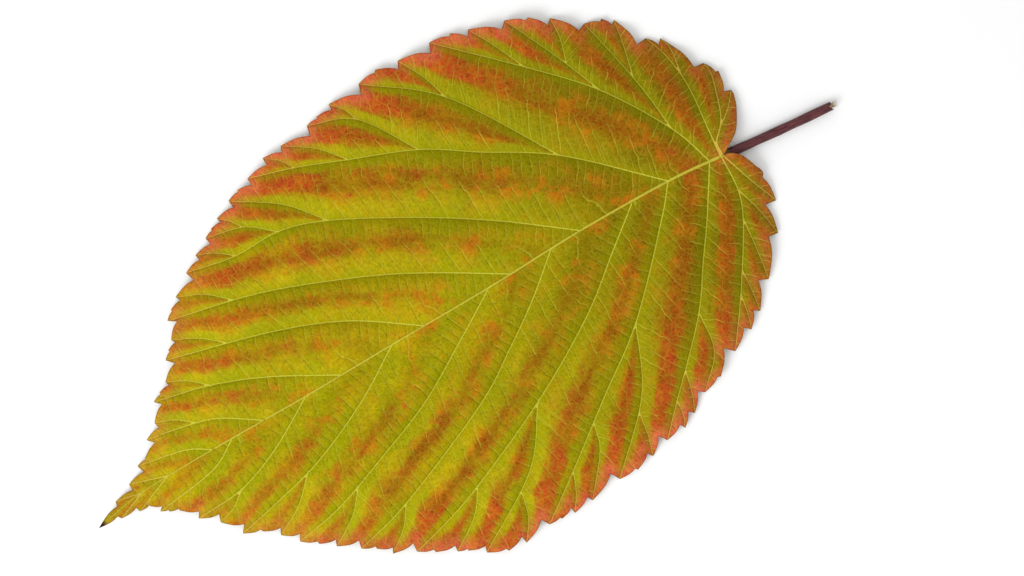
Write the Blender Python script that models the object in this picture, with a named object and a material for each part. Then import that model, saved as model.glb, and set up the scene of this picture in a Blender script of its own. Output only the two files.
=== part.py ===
"""A broad, doubly serrate, pleated leaf with its stalk, as picked, lying on its underside.

The shape is worked out in millimetres in the blade's own frame: x runs along the midrib from the base of
the blade to its tip, y across the blade and z up from the surface that the leaf lies on. The finished mesh
is in metres, with its origin at the bottom centre of its box.
"""

import bmesh
import bpy
import numpy as np
from mathutils import Vector
from mathutils.geometry import delaunay_2d_cdt

MM = 0.001

# Blade
LAMINA = 0.40  # thickness between the veins
ARCH = 2.4  # rise of each half between the midrib and the margin
PLEAT = 1.5  # rise of the ridge between two side veins
WIDE_PANEL = 9.0  # a panel this wide between its veins has the full pleat
MIDRIB_TROUGH = 5.0  # the pleats fade out this near the midrib
MARGIN_LEVEL = 0.45  # upper face at the margin
BASE_LIFT = 1.9  # how much higher the lobes stand beside the stalk
BASE_REACH = 6.0
TIP_LIFT = 1.6
TIP_START = 88.0
TIP = (110.0, 0.0)

# Midrib, a ridge under the blade with a flat sole that the leaf lies on
MIDRIB_AT_BASE = 1.80
MIDRIB_AT_TIP = 0.55
SOLE_HALF = 0.45
MIDRIB_HALF = 0.95
VEIN_RIDGE = 0.40  # ridge of a side vein under the blade

# The notch after a tooth. Its depth goes by the vein that the tooth is on, and grows with the gap.
NOTCH_STEP = 0.12  # where it lies, as a share of the way to the next tooth
MAIN_NOTCH = 0.62
BRANCH_NOTCH = 0.50
SMALL_NOTCH = 0.16
NOTCH_GROWTH = 0.35  # for each millimetre between the two teeth
DEEPEST_NOTCH = 1.6
NOTCH_UNEVEN = 0.15
NOTCH_TURN = 2.4  # radians from one notch's unevenness to the next one's
TIP_TEETH = 10.0  # the notches get shallower this near the tip

# Back of a tooth: how far it bows out at each share of its length
BACK_BOWS = ((0.35, 0.075), (0.7, 0.05))

# Stalk
STALK_RADIUS = 0.70
STALK_END = (-17.9, 1.95)
CORE_RADIUS = 0.42
CORE_END = (-19.0, 2.0)
STALK_ROOT = 4.0  # how far the stalk's rod runs on inside the midrib
STALK_HEIGHT = 0.77

GRID = 3.0  # spacing of the points between the veins
VEIN_STEP = 3.2

MIDRIB = ((0, 0), (9, -0.9), (24.3, -1.3), (41, -1.0), (58, -1.1), (73, -1.1), (89, -1.4), (102, -1.3), TIP)

# Each group is a side vein from the midrib to its tooth, then the branches that leave its basal side.
LEFT_VEINS = (
    (
        ((0, 0), (-0.2, -2.2), (-1.9, -4.0), (-3.2, -6.2), (-4.9, -11.4), (-4.8, -13.6)),
        ((-1.9, -4.0), (-4.2, -5.6), (-6.3, -7.9)),
    ),
    (
        ((0.4, -0.1), (-0.3, -6.2), (-0.8, -10.3), (-0.9, -13.6), (-0.3, -18.0), (0.8, -21.3)),
        ((-0.9, -13.6), (-1.6, -18.0), (-1.1, -20.2)),
    ),
    (
        ((2.1, -0.2), (4.6, -7.4), (10.9, -17.9), (18.9, -26.9), (29.4, -37.6)),
        ((4.6, -7.4), (5.6, -17.0), (7.7, -28.0)),
        ((5.6, -17.0), (4.3, -22.0), (3.5, -26.2)),
        ((10.9, -17.9), (14.0, -26.0), (17.9, -34.6)),
        ((13.2, -24.0), (12.0, -28.0), (11.7, -31.4)),
        ((18.9, -26.9), (21.0, -31.8), (23.3, -36.3)),
    ),
    (
        ((9.0, -0.9), (21.2, -12.6), (31.4, -19.3), (39.0, -24.3), (48.9, -28.5), (56.6, -31.7), (63.7, -34.0)),
        ((21.2, -12.6), (31.4, -29.0), (41.8, -37.7)),
        ((31.4, -29.0), (32.8, -33.5), (34.9, -37.7)),
        ((39.0, -24.3), (44.8, -33.2), (51.8, -36.3)),
        ((44.8, -33.2), (45.6, -35.4), (47.3, -37.4)),
        ((48.9, -28.5), (52.4, -32.6), (56.8, -35.7)),
        ((56.6, -31.7), (58.0, -33.8), (60.1, -35.5)),
    ),
    (
        ((24.3, -1.3), (34.1, -8.8), (44.3, -15.5), (56.2, -22.1), (63.6, -24.6), (71.1, -24.8), (79.0, -26.5)),
        ((56.2, -22.1), (61.0, -27.8), (67.9, -32.6)),
        ((63.6, -24.6), (68.0, -28.0), (73.8, -29.5)),
        ((68.0, -28.0), (69.2, -29.8), (70.8, -31.2)),
        ((71.1, -24.8), (73.6, -26.8), (76.4, -28.1)),
    ),
    (
        ((36.8, -1.1), (47.2, -7.5), (56.7, -12.4), (70.7, -18.0), (85.2, -21.7)),
        ((75.0, -19.4), (78.2, -22.2), (82.3, -24.2)),
    ),
    (
        ((52.1, -1.1), (61.4, -7.5), (72.0, -12.0), (88.5, -16.7)),
        ((79.2, -14.4), (82.4, -17.0), (86.2, -18.9)),
    ),
    (
        ((66.7, -1.1), (76.2, -6.5), (84.4, -9.9), (93.3, -12.2)),
        ((84.4, -9.9), (87.0, -12.2), (90.2, -13.9)),
    ),
    (
        ((80.3, -1.2), (86.0, -5.0), (91.0, -6.6), (97.2, -7.8)),
        ((89.0, -6.0), (91.8, -8.2), (94.8, -9.4)),
    ),
    (((89.3, -1.4), (93.0, -3.5), (100.4, -5.1)),),
    (((96.9, -1.4), (102.9, -3.4)),),
    (((101.9, -1.3), (105.9, -2.2)),),
)
RIGHT_VEINS = (
    (((0, 0), (-1.6, 5.0), (-3.6, 10.0)),),
    (
        ((0.3, 0), (0.7, 5.6), (2.2, 9.7), (5.7, 15.4), (8.9, 20.2), (13.5, 26.5)),
        ((0.7, 5.6), (-0.6, 10.0), (-1.3, 14.4)),
        ((2.2, 9.7), (2.8, 15.0), (3.5, 19.7)),
        ((6.3, 16.3), (6.6, 20.0), (7.1, 23.2)),
        ((8.4, 19.4), (8.9, 22.4), (9.7, 24.9)),
    ),
    (
        ((2.2, -0.2), (7.1, 7.1), (10.9, 12.3), (15.3, 18.5), (21.0, 24.5), (24.9, 28.3), (29.3, 32.8)),
        ((15.3, 18.5), (16.2, 24.7), (20.6, 29.5)),
        ((21.5, 25.0), (22.4, 28.6), (23.6, 31.4)),
        ((24.9, 28.3), (25.2, 30.6), (26.0, 32.6)),
    ),
    (
        ((9.1, -0.9), (13.0, 3.6), (24.3, 14.9), (34.1, 22.1), (43.9, 29.4), (51.2, 34.6)),
        ((24.3, 14.9), (29.2, 24.9), (38.5, 34.2)),
        ((30.8, 26.9), (31.4, 30.6), (32.4, 33.8)),
        ((37.5, 24.7), (38.9, 28.9), (43.7, 34.8)),
        ((43.9, 29.4), (45.2, 32.4), (47.0, 35.1)),
    ),
    (
        ((15.6, -0.8), (21.9, 4.0), (30.5, 10.5), (43.1, 17.6), (57.5, 23.9), (64.6, 26.3), (70.6, 27.8)),
        ((43.1, 17.6), (49.6, 26.0), (61.6, 33.4)),
        ((52.3, 28.4), (53.4, 32.0), (55.6, 35.2)),
        ((57.5, 23.9), (60.3, 27.6), (65.3, 31.0)),
    ),
    (
        ((29.7, -1.1), (36.0, 4.0), (42.9, 8.7), (51.0, 13.6), (68.1, 20.6), (77.6, 23.1)),
        ((68.1, 20.6), (70.6, 23.8), (73.9, 26.2)),
    ),
    (
        ((41.0, -0.8), (47.9, 3.3), (58.0, 9.0), (68.4, 13.0), (77.2, 16.0), (85.1, 17.4)),
        ((72.9, 14.6), (76.2, 18.2), (80.7, 20.9)),
    ),
    (
        ((57.9, -1.0), (66.2, 4.0), (76.2, 8.3), (84.5, 10.4), (91.9, 11.9)),
        ((78.4, 8.9), (82.4, 12.6), (87.1, 15.1)),
    ),
    (
        ((73.2, -1.0), (80.8, 3.3), (88.4, 6.0), (96.5, 6.5)),
        ((88.4, 6.0), (91.0, 7.8), (93.9, 8.7)),
    ),
    (((86.1, -1.2), (90.9, 1.3), (100.9, 2.6)),),
    (((97.4, -1.4), (103.5, 1.0)),),
    (((102.0, -1.2), (106.4, 0.5)),),
)

# The smaller teeth, between those that a vein runs out to
LEFT_SMALL_TEETH = (
    (-6.1, -11.4), (5.1, -27.3), (14.6, -33.1), (25.9, -37.1), (38.5, -38.2), (49.8, -36.7), (65.8, -33.3),
    (72.3, -30.3), (83.8, -22.9), (87.3, -17.8), (91.7, -13.0), (98.7, -5.6),
)
RIGHT_SMALL_TEETH = (
    (-4.0, 5.4), (17.4, 28.6), (35.4, 34.3), (49.1, 34.8), (58.5, 34.8), (63.8, 31.7), (68.1, 29.3),
    (75.5, 24.3), (82.7, 19.2), (89.0, 13.2), (98.2, 4.0), (99.7, 3.3), (101.7, 1.2),
)
# The lobes' smooth margin, from the stalk out towards the first tooth
LEFT_LOBE = ((-1.3, -0.7), (-3.7, -2.3), (-5.6, -5.2), (-6.2, -6.8))
RIGHT_LOBE = ((-1.0, 0.2), (-2.5, 1.5), (-3.6, 4.1))


def smooth_line(points, step):
    """Points about a step apart on a Catmull-Rom curve through the given ones."""
    points = np.array(points, float)
    padded = np.vstack([2 * points[0] - points[1], points, 2 * points[-1] - points[-2]])
    line = [points[0]]
    for p0, p1, p2, p3 in zip(padded, padded[1:], padded[2:], padded[3:]):
        count = max(1, round(np.linalg.norm(p2 - p1) / step))
        for t in np.arange(1, count + 1) / count:
            line.append(
                0.5 * (2 * p1 + (p2 - p0) * t + (2 * p0 - 5 * p1 + 4 * p2 - p3) * t**2
                       + (3 * p1 - p0 - 3 * p2 + p3) * t**3)
            )
    return np.array(line)


def tooth_back(notch, apex, outward):
    """The bowed back of a tooth, from the notch before it to its apex."""
    notch, apex = np.array(notch, float), np.array(apex, float)
    way = apex - notch
    out = outward * np.array([way[1], -way[0]])
    return [notch + share * way + bow * out for share, bow in BACK_BOWS] + [apex]


def notch_after(apex, following, notch, number, outward):
    """The notch between a tooth and the one that follows it."""
    way = following - apex
    gap = np.hypot(*way)
    out = outward * np.array([way[1], -way[0]]) / gap
    depth = min(notch * (1 + NOTCH_GROWTH * gap), DEEPEST_NOTCH)
    depth *= (1 + NOTCH_UNEVEN * np.sin(NOTCH_TURN * number)) * min(1, (TIP[0] - apex[0]) / TIP_TEETH)
    return apex + NOTCH_STEP * way - depth * out


def half_margin(veins, small_teeth, lobe, outward):
    """The margin of one half of the blade, from the stalk to the tip."""
    teeth = [(group[0][-1], MAIN_NOTCH) for group in veins]
    teeth += [(line[-1], BRANCH_NOTCH) for group in veins for line in group[1:]]
    teeth += [(apex, SMALL_NOTCH) for apex in small_teeth]
    # Seen from the middle of the blade, the teeth follow each other by angle.
    teeth.sort(key=lambda tooth: -np.arctan2(abs(tooth[0][1]), tooth[0][0] - TIP[0] / 2))
    apexes = [np.array(apex, float) for apex, _ in teeth] + [np.array(TIP)]
    margin = [np.array(p, float) for p in lobe]
    before = margin[-1]
    for number, (_, notch) in enumerate(teeth):
        apex, following = apexes[number : number + 2]
        after = notch_after(apex, following, notch, number, outward)
        margin += tooth_back(before, apex, outward) + [after]
        before = after
    return margin + tooth_back(before, TIP, outward)


def blade_outline():
    """The margin as a closed line, anticlockwise from the base."""
    left = half_margin(LEFT_VEINS, LEFT_SMALL_TEETH, LEFT_LOBE, 1)
    right = half_margin(RIGHT_VEINS, RIGHT_SMALL_TEETH, RIGHT_LOBE, -1)
    return np.array([np.zeros(2)] + left + right[-2::-1])


def to_line(points, line):
    """Distance from each point to a line, and on which side of it the point lies."""
    start, way = line[:-1], np.diff(line, axis=0)
    offset = points[:, None] - start
    share = np.clip((offset * way).sum(2) / (way**2).sum(1), 0, 1)
    gap = offset - share[..., None] * way
    length = np.hypot(gap[..., 0], gap[..., 1])
    nearest = length.argmin(1)
    row = np.arange(len(points))
    cross = way[nearest, 0] * offset[row, nearest, 1] - way[nearest, 1] * offset[row, nearest, 0]
    at_start = (nearest == 0) & (share[row, nearest] == 0)
    return length[row, nearest], np.sign(cross), at_start


def inside(points, outline):
    """Whether each point lies inside the closed outline, by counting crossings."""
    a, b = outline, np.roll(outline, -1, axis=0)
    x, y = points[:, :1], points[:, 1:]
    spans = (a[:, 1] > y) != (b[:, 1] > y)
    rise = np.where(b[:, 1] == a[:, 1], 1.0, b[:, 1] - a[:, 1])
    cut = a[:, 0] + (y - a[:, 1]) * (b[:, 0] - a[:, 0]) / rise
    return (spans & (x < cut)).sum(1) % 2 == 1


def panel_widths(points, halves):
    """Distance from each point to the vein on its basal side and to the one on its distal side."""
    basal = np.full(len(points), np.inf)
    distal = np.full(len(points), np.inf)
    for veins, half in halves:
        for group in veins:
            for i, line in enumerate(group):
                length, side, at_start = to_line(points, smooth_line(line, VEIN_STEP))
                here = (np.sign(points[:, 1] - np.interp(points[:, 0], *np.transpose(MIDRIB))) == half)
                here &= (i == 0) | ~at_start
                before = here & (side * half >= 0)
                after = here & (side * half <= 0)
                distal[before] = np.minimum(distal[before], length[before])
                basal[after] = np.minimum(basal[after], length[after])
    return basal, distal


def upper_face(points, to_midrib, to_margin, basal, distal):
    """Height of the upper face: level at the midrib and margin, arched and pleated between."""
    x = points[:, 0]
    half_width = np.maximum(to_midrib + to_margin, 1e-9)
    across = to_midrib / half_width
    midrib = midrib_depth(x) + sole_height(x)
    beside_stalk = BASE_LIFT * np.exp(-((np.hypot(*points.T) / BASE_REACH) ** 2))
    tip = np.clip(1 - (x - TIP_START) / (TIP[0] - TIP_START), 0, 1)
    margin = MARGIN_LEVEL * tip + midrib * (1 - tip) + beside_stalk
    level = midrib * (1 - across) + margin * across
    arch = ARCH * np.sin(np.pi * across) * np.clip(half_width / 25, 0, 1)
    # Past the first and the last vein a panel runs to the midrib or the margin.
    basal = np.where(np.isfinite(basal), basal, np.minimum(to_margin, WIDE_PANEL))
    distal = np.where(np.isfinite(distal), distal, to_midrib)
    width = basal + distal
    share = basal / np.maximum(width, 1e-9)
    off_midrib = 1 - np.exp(-((to_midrib / MIDRIB_TROUGH) ** 2))
    pleat = PLEAT * off_midrib * np.clip(width / WIDE_PANEL, 0, 1) * np.sin(np.pi * share)
    return level + arch + pleat


def lower_face(points, top, to_midrib, on_vein):
    """Height of the lower face: a lamina's thickness below the upper one, with ridges for the veins."""
    lamina = top - LAMINA - VEIN_RIDGE * on_vein
    flank = np.clip((MIDRIB_HALF - to_midrib) / (MIDRIB_HALF - SOLE_HALF - 0.02), 0, 1)
    return lamina * (1 - flank) + sole_height(points[:, 0]) * flank


def midrib_depth(x):
    """Depth of the midrib from the upper face to its sole."""
    return MIDRIB_AT_BASE + (MIDRIB_AT_TIP - MIDRIB_AT_BASE) * np.clip(x, 0, TIP[0]) / TIP[0]


def sole_height(x):
    """Height of the midrib's sole, which lies flat and rises only at the tip."""
    return TIP_LIFT * (np.clip(x - TIP_START, 0, None) / (TIP[0] - TIP_START)) ** 2


def beside(line, gap):
    """The line moved sideways by a gap."""
    way = np.gradient(line, axis=0)
    return line + gap * np.stack([-way[:, 1], way[:, 0]], axis=1) / np.linalg.norm(way, axis=1)[:, None]


def blade_net(outline):
    """Triangles that fill the outline, with an edge along every vein and along the midrib's flanks."""
    midrib = smooth_line(MIDRIB, VEIN_STEP)
    flanks = [beside(midrib[:-2], gap) for gap in (SOLE_HALF, MIDRIB_HALF, -SOLE_HALF, -MIDRIB_HALF)]
    veins = [smooth_line(line, VEIN_STEP) for half in (LEFT_VEINS, RIGHT_VEINS) for group in half for line in group]
    lines = [midrib] + veins + [flank[inside(flank, outline)] for flank in flanks]
    low, high = outline.min(0), outline.max(0)
    columns = np.arange(low[0], high[0], GRID)
    rows = np.arange(low[1], high[1], GRID * 0.866)
    fill = np.array([(x + (j % 2) * GRID / 2, y) for x in columns for j, y in enumerate(rows)])
    fill = fill[inside(fill, outline)]
    clear = to_line(fill, np.vstack([outline, outline[:1]]))[0] > 0.5 * GRID
    for line in lines:
        clear &= to_line(fill, line)[0] > 0.55 * GRID
    fill = fill[clear]
    points, edges = list(outline), []
    for line in lines:
        edges += [(i, i + 1) for i in range(len(points), len(points) + len(line) - 1)]
        points += list(line)
    points += list(fill)
    corners = [Vector(p) for p in points]
    edges += [(i, (i + 1) % len(outline)) for i in range(len(outline))]
    found = delaunay_2d_cdt(corners, edges, [], 0, 1e-4, False)
    points = np.array([tuple(p) for p in found[0]])
    faces = np.array([face[:] for face in found[2]])
    return points, faces[inside(points[faces].mean(1), outline)]


def blade_mesh():
    """The blade as a closed mesh: the net at the upper face, extruded down to the lower one."""
    outline = blade_outline()
    points, faces = blade_net(outline)
    to_margin = to_line(points, np.vstack([outline, outline[:1]]))[0]
    to_midrib = to_line(points, smooth_line(MIDRIB, VEIN_STEP))[0]
    basal, distal = panel_widths(points, ((LEFT_VEINS, -1), (RIGHT_VEINS, 1)))
    top = upper_face(points, to_midrib, to_margin, basal, distal)
    on_vein = (np.minimum(basal, distal) < 0.02) & (to_margin > 1.0)
    bottom = lower_face(points, top, to_midrib, on_vein)

    mesh = bmesh.new()
    corners = [mesh.verts.new((x, y, z)) for (x, y), z in zip(points, top)]
    for face in faces:
        mesh.faces.new([corners[i] for i in face])
    bmesh.ops.recalc_face_normals(mesh, faces=mesh.faces)
    mesh.verts.index_update()
    extruded = bmesh.ops.extrude_face_region(mesh, geom=mesh.faces[:], use_keep_orig=True)
    below = {(v.co.x, v.co.y): z for v, z in zip(corners, bottom)}
    for item in extruded["geom"]:
        if isinstance(item, bmesh.types.BMVert):
            item.co.z = below[item.co.x, item.co.y]
    bmesh.ops.recalc_face_normals(mesh, faces=mesh.faces)
    data = bpy.data.meshes.new("blade")
    mesh.to_mesh(data)
    mesh.free()
    return data


def stalk_mesh():
    """The stalk as a tapered rod that runs on inside the midrib, with its thinner torn core at the free end."""
    path = bpy.data.curves.new("stalk", "CURVE")
    path.dimensions = "3D"
    path.bevel_depth = 1.0
    path.bevel_resolution = 3
    path.use_fill_caps = True
    stations = (
        (STALK_ROOT, -0.4, STALK_HEIGHT, 0.45 * STALK_RADIUS),
        (0.0, 0.0, STALK_HEIGHT, 0.95 * STALK_RADIUS),
        (-6.0, 0.75, STALK_HEIGHT, STALK_RADIUS),
        (-12.0, 1.4, STALK_HEIGHT, STALK_RADIUS),
        (*STALK_END, STALK_HEIGHT, STALK_RADIUS),
        (STALK_END[0] - 0.1, STALK_END[1], STALK_HEIGHT, CORE_RADIUS),
        (*CORE_END, STALK_HEIGHT, 0.85 * CORE_RADIUS),
    )
    spline = path.splines.new("POLY")
    spline.points.add(len(stations) - 1)
    for point, (x, y, z, radius) in zip(spline.points, stations):
        point.co = (x, y, z, 1)
        point.radius = radius
    rod = bpy.data.objects.new("stalk", path)
    bpy.context.scene.collection.objects.link(rod)
    graph = bpy.context.evaluated_depsgraph_get()
    data = bpy.data.meshes.new_from_object(rod.evaluated_get(graph))
    bpy.data.objects.remove(rod)
    mesh = bmesh.new()
    mesh.from_mesh(data)
    bmesh.ops.remove_doubles(mesh, verts=mesh.verts, dist=1e-4)
    bmesh.ops.recalc_face_normals(mesh, faces=mesh.faces)
    mesh.to_mesh(data)
    mesh.free()
    return data


def leaf_material():
    material = bpy.data.materials.new("autumn leaf")
    material.use_nodes = True
    shader = material.node_tree.nodes["Principled BSDF"]
    shader.inputs["Base Color"].default_value = (0.36, 0.24, 0.01, 1)
    shader.inputs["Roughness"].default_value = 0.6
    shader.inputs["Metallic"].default_value = 0.0
    return material


def join_leaf(blade, stalk):
    """One closed solid of the blade and the stalk, in metres, with its origin at the bottom centre."""
    parts = bpy.data.collections.new("leaf")
    cutters = bpy.data.collections.new("helpers")
    bpy.context.scene.collection.children.link(parts)
    bpy.context.scene.collection.children.link(cutters)
    leaf = bpy.data.objects.new("leaf", blade)
    rod = bpy.data.objects.new("stalk_rod", stalk)
    parts.objects.link(leaf)
    cutters.objects.link(rod)
    union = leaf.modifiers.new("stalk", "BOOLEAN")
    union.operation = "UNION"
    union.solver = "EXACT"
    union.object = rod
    graph = bpy.context.evaluated_depsgraph_get()
    solid = bpy.data.meshes.new_from_object(leaf.evaluated_get(graph))
    leaf.modifiers.clear()
    leaf.data = solid
    bpy.data.objects.remove(rod)
    bpy.data.collections.remove(cutters)

    places = np.empty(len(solid.vertices) * 3, np.float32)
    solid.vertices.foreach_get("co", places)
    places = places.reshape(-1, 3)
    low, high = places.min(0), places.max(0)
    places -= ((low[0] + high[0]) / 2, (low[1] + high[1]) / 2, low[2])
    solid.vertices.foreach_set("co", (places * MM).ravel())
    solid.materials.clear()
    solid.materials.append(leaf_material())
    return leaf


def main():
    for old in list(bpy.data.objects):
        bpy.data.objects.remove(old)
    join_leaf(blade_mesh(), stalk_mesh())


main()
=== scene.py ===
"""Autumn leaf: a broad, doubly serrate, pleated blade on a slim torn stalk, lying on a plain floor.

Lengths in the tables and formulas of the leaf are in millimetres in the blade's own frame: x runs along the
midrib from the base of the blade to its tip, y across the blade and z up from the floor.
"""

import bpy
import numpy as np
from bpy.props import FloatProperty, FloatVectorProperty, IntProperty, PointerProperty
from mathutils import Matrix, Vector
from mathutils.geometry import delaunay_2d_cdt


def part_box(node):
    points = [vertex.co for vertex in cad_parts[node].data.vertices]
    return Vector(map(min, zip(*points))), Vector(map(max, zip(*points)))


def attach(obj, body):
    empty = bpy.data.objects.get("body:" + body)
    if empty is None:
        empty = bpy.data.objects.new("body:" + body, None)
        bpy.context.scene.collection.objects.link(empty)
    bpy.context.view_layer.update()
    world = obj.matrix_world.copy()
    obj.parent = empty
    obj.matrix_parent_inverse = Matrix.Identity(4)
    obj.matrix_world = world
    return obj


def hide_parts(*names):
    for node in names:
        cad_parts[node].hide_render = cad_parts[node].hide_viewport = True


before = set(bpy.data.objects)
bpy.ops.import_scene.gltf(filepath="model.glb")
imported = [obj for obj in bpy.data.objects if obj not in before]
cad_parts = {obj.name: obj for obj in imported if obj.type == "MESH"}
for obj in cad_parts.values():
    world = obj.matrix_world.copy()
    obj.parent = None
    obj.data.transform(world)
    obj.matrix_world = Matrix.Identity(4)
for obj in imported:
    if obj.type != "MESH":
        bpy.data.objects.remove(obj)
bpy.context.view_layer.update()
LEAF_LOW, LEAF_HIGH = (np.array(corner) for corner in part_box("leaf"))

bl_info = {
    "name": "Autumn leaf",
    "version": (1, 0, 0),
    "blender": (4, 5, 0),
    "location": "View3D > Sidebar > Leaf",
    "description": "Makes a pleated autumn leaf with its veins, its torn stalk and a plain stage",
    "category": "Add Mesh",
}

MM = 0.001
TIP = (110.0, 0.0)
LEFT_REACH = 38.2  # from the base of the blade to the outermost tooth on its left
BLADE_BASE = np.array([LEAF_HIGH[0] - TIP[0] * MM, LEAF_LOW[1] + LEFT_REACH * MM, LEAF_LOW[2]])

MIDRIB = ((0, 0), (9, -0.9), (24.3, -1.3), (41, -1.0), (58, -1.1), (73, -1.1), (89, -1.4), (102, -1.3), TIP)

# Each group is a side vein from the midrib to its tooth, then the branches that leave its basal side.
LEFT_VEINS = (
    (
        ((0, 0), (-0.2, -2.2), (-1.9, -4.0), (-3.2, -6.2), (-4.9, -11.4), (-4.8, -13.6)),
        ((-1.9, -4.0), (-4.2, -5.6), (-6.3, -7.9)),
    ),
    (
        ((0.4, -0.1), (-0.3, -6.2), (-0.8, -10.3), (-0.9, -13.6), (-0.3, -18.0), (0.8, -21.3)),
        ((-0.9, -13.6), (-1.6, -18.0), (-1.1, -20.2)),
    ),
    (
        ((2.1, -0.2), (4.6, -7.4), (10.9, -17.9), (18.9, -26.9), (29.4, -37.6)),
        ((4.6, -7.4), (5.6, -17.0), (7.7, -28.0)),
        ((5.6, -17.0), (4.3, -22.0), (3.5, -26.2)),
        ((10.9, -17.9), (14.0, -26.0), (17.9, -34.6)),
        ((13.2, -24.0), (12.0, -28.0), (11.7, -31.4)),
        ((18.9, -26.9), (21.0, -31.8), (23.3, -36.3)),
    ),
    (
        (
            (9.0, -0.9), (21.2, -12.6), (31.4, -19.3), (39.0, -24.3), (48.9, -28.5), (56.6, -31.7),
            (63.7, -34.0),
        ),
        ((21.2, -12.6), (31.4, -29.0), (41.8, -37.7)),
        ((31.4, -29.0), (32.8, -33.5), (34.9, -37.7)),
        ((39.0, -24.3), (44.8, -33.2), (51.8, -36.3)),
        ((44.8, -33.2), (45.6, -35.4), (47.3, -37.4)),
        ((48.9, -28.5), (52.4, -32.6), (56.8, -35.7)),
        ((56.6, -31.7), (58.0, -33.8), (60.1, -35.5)),
    ),
    (
        (
            (24.3, -1.3), (34.1, -8.8), (44.3, -15.5), (56.2, -22.1), (63.6, -24.6), (71.1, -24.8),
            (79.0, -26.5),
        ),
        ((56.2, -22.1), (61.0, -27.8), (67.9, -32.6)),
        ((63.6, -24.6), (68.0, -28.0), (73.8, -29.5)),
        ((68.0, -28.0), (69.2, -29.8), (70.8, -31.2)),
        ((71.1, -24.8), (73.6, -26.8), (76.4, -28.1)),
    ),
    (
        ((36.8, -1.1), (47.2, -7.5), (56.7, -12.4), (70.7, -18.0), (85.2, -21.7)),
        ((75.0, -19.4), (78.2, -22.2), (82.3, -24.2)),
    ),
    (
        ((52.1, -1.1), (61.4, -7.5), (72.0, -12.0), (88.5, -16.7)),
        ((79.2, -14.4), (82.4, -17.0), (86.2, -18.9)),
    ),
    (
        ((66.7, -1.1), (76.2, -6.5), (84.4, -9.9), (93.3, -12.2)),
        ((84.4, -9.9), (87.0, -12.2), (90.2, -13.9)),
    ),
    (
        ((80.3, -1.2), (86.0, -5.0), (91.0, -6.6), (97.2, -7.8)),
        ((89.0, -6.0), (91.8, -8.2), (94.8, -9.4)),
    ),
    (((89.3, -1.4), (93.0, -3.5), (100.4, -5.1)),),
    (((96.9, -1.4), (102.9, -3.4)),),
    (((101.9, -1.3), (105.9, -2.2)),),
)
RIGHT_VEINS = (
    (((0, 0), (-1.6, 5.0), (-3.6, 10.0)),),
    (
        ((0.3, 0), (0.7, 5.6), (2.2, 9.7), (5.7, 15.4), (8.9, 20.2), (13.5, 26.5)),
        ((0.7, 5.6), (-0.6, 10.0), (-1.3, 14.4)),
        ((2.2, 9.7), (2.8, 15.0), (3.5, 19.7)),
        ((6.3, 16.3), (6.6, 20.0), (7.1, 23.2)),
        ((8.4, 19.4), (8.9, 22.4), (9.7, 24.9)),
    ),
    (
        ((2.2, -0.2), (7.1, 7.1), (10.9, 12.3), (15.3, 18.5), (21.0, 24.5), (24.9, 28.3), (29.3, 32.8)),
        ((15.3, 18.5), (16.2, 24.7), (20.6, 29.5)),
        ((21.5, 25.0), (22.4, 28.6), (23.6, 31.4)),
        ((24.9, 28.3), (25.2, 30.6), (26.0, 32.6)),
    ),
    (
        ((9.1, -0.9), (13.0, 3.6), (24.3, 14.9), (34.1, 22.1), (43.9, 29.4), (51.2, 34.6)),
        ((24.3, 14.9), (29.2, 24.9), (38.5, 34.2)),
        ((30.8, 26.9), (31.4, 30.6), (32.4, 33.8)),
        ((37.5, 24.7), (38.9, 28.9), (43.7, 34.8)),
        ((43.9, 29.4), (45.2, 32.4), (47.0, 35.1)),
    ),
    (
        ((15.6, -0.8), (21.9, 4.0), (30.5, 10.5), (43.1, 17.6), (57.5, 23.9), (64.6, 26.3), (70.6, 27.8)),
        ((43.1, 17.6), (49.6, 26.0), (61.6, 33.4)),
        ((52.3, 28.4), (53.4, 32.0), (55.6, 35.2)),
        ((57.5, 23.9), (60.3, 27.6), (65.3, 31.0)),
    ),
    (
        ((29.7, -1.1), (36.0, 4.0), (42.9, 8.7), (51.0, 13.6), (68.1, 20.6), (77.6, 23.1)),
        ((68.1, 20.6), (70.6, 23.8), (73.9, 26.2)),
    ),
    (
        ((41.0, -0.8), (47.9, 3.3), (58.0, 9.0), (68.4, 13.0), (77.2, 16.0), (85.1, 17.4)),
        ((72.9, 14.6), (76.2, 18.2), (80.7, 20.9)),
    ),
    (
        ((57.9, -1.0), (66.2, 4.0), (76.2, 8.3), (84.5, 10.4), (91.9, 11.9)),
        ((78.4, 8.9), (82.4, 12.6), (87.1, 15.1)),
    ),
    (
        ((73.2, -1.0), (80.8, 3.3), (88.4, 6.0), (96.5, 6.5)),
        ((88.4, 6.0), (91.0, 7.8), (93.9, 8.7)),
    ),
    (((86.1, -1.2), (90.9, 1.3), (100.9, 2.6)),),
    (((97.4, -1.4), (103.5, 1.0)),),
    (((102.0, -1.2), (106.4, 0.5)),),
)

# The smaller teeth, between those that a vein runs out to
LEFT_SMALL_TEETH = (
    (-6.1, -11.4), (5.1, -27.3), (14.6, -33.1), (25.9, -37.1), (38.5, -38.2), (49.8, -36.7), (65.8, -33.3),
    (72.3, -30.3), (83.8, -22.9), (87.3, -17.8), (91.7, -13.0), (98.7, -5.6),
)
RIGHT_SMALL_TEETH = (
    (-4.0, 5.4), (17.4, 28.6), (35.4, 34.3), (49.1, 34.8), (58.5, 34.8), (63.8, 31.7), (68.1, 29.3),
    (75.5, 24.3), (82.7, 19.2), (89.0, 13.2), (98.2, 4.0), (99.7, 3.3), (101.7, 1.2),
)
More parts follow.
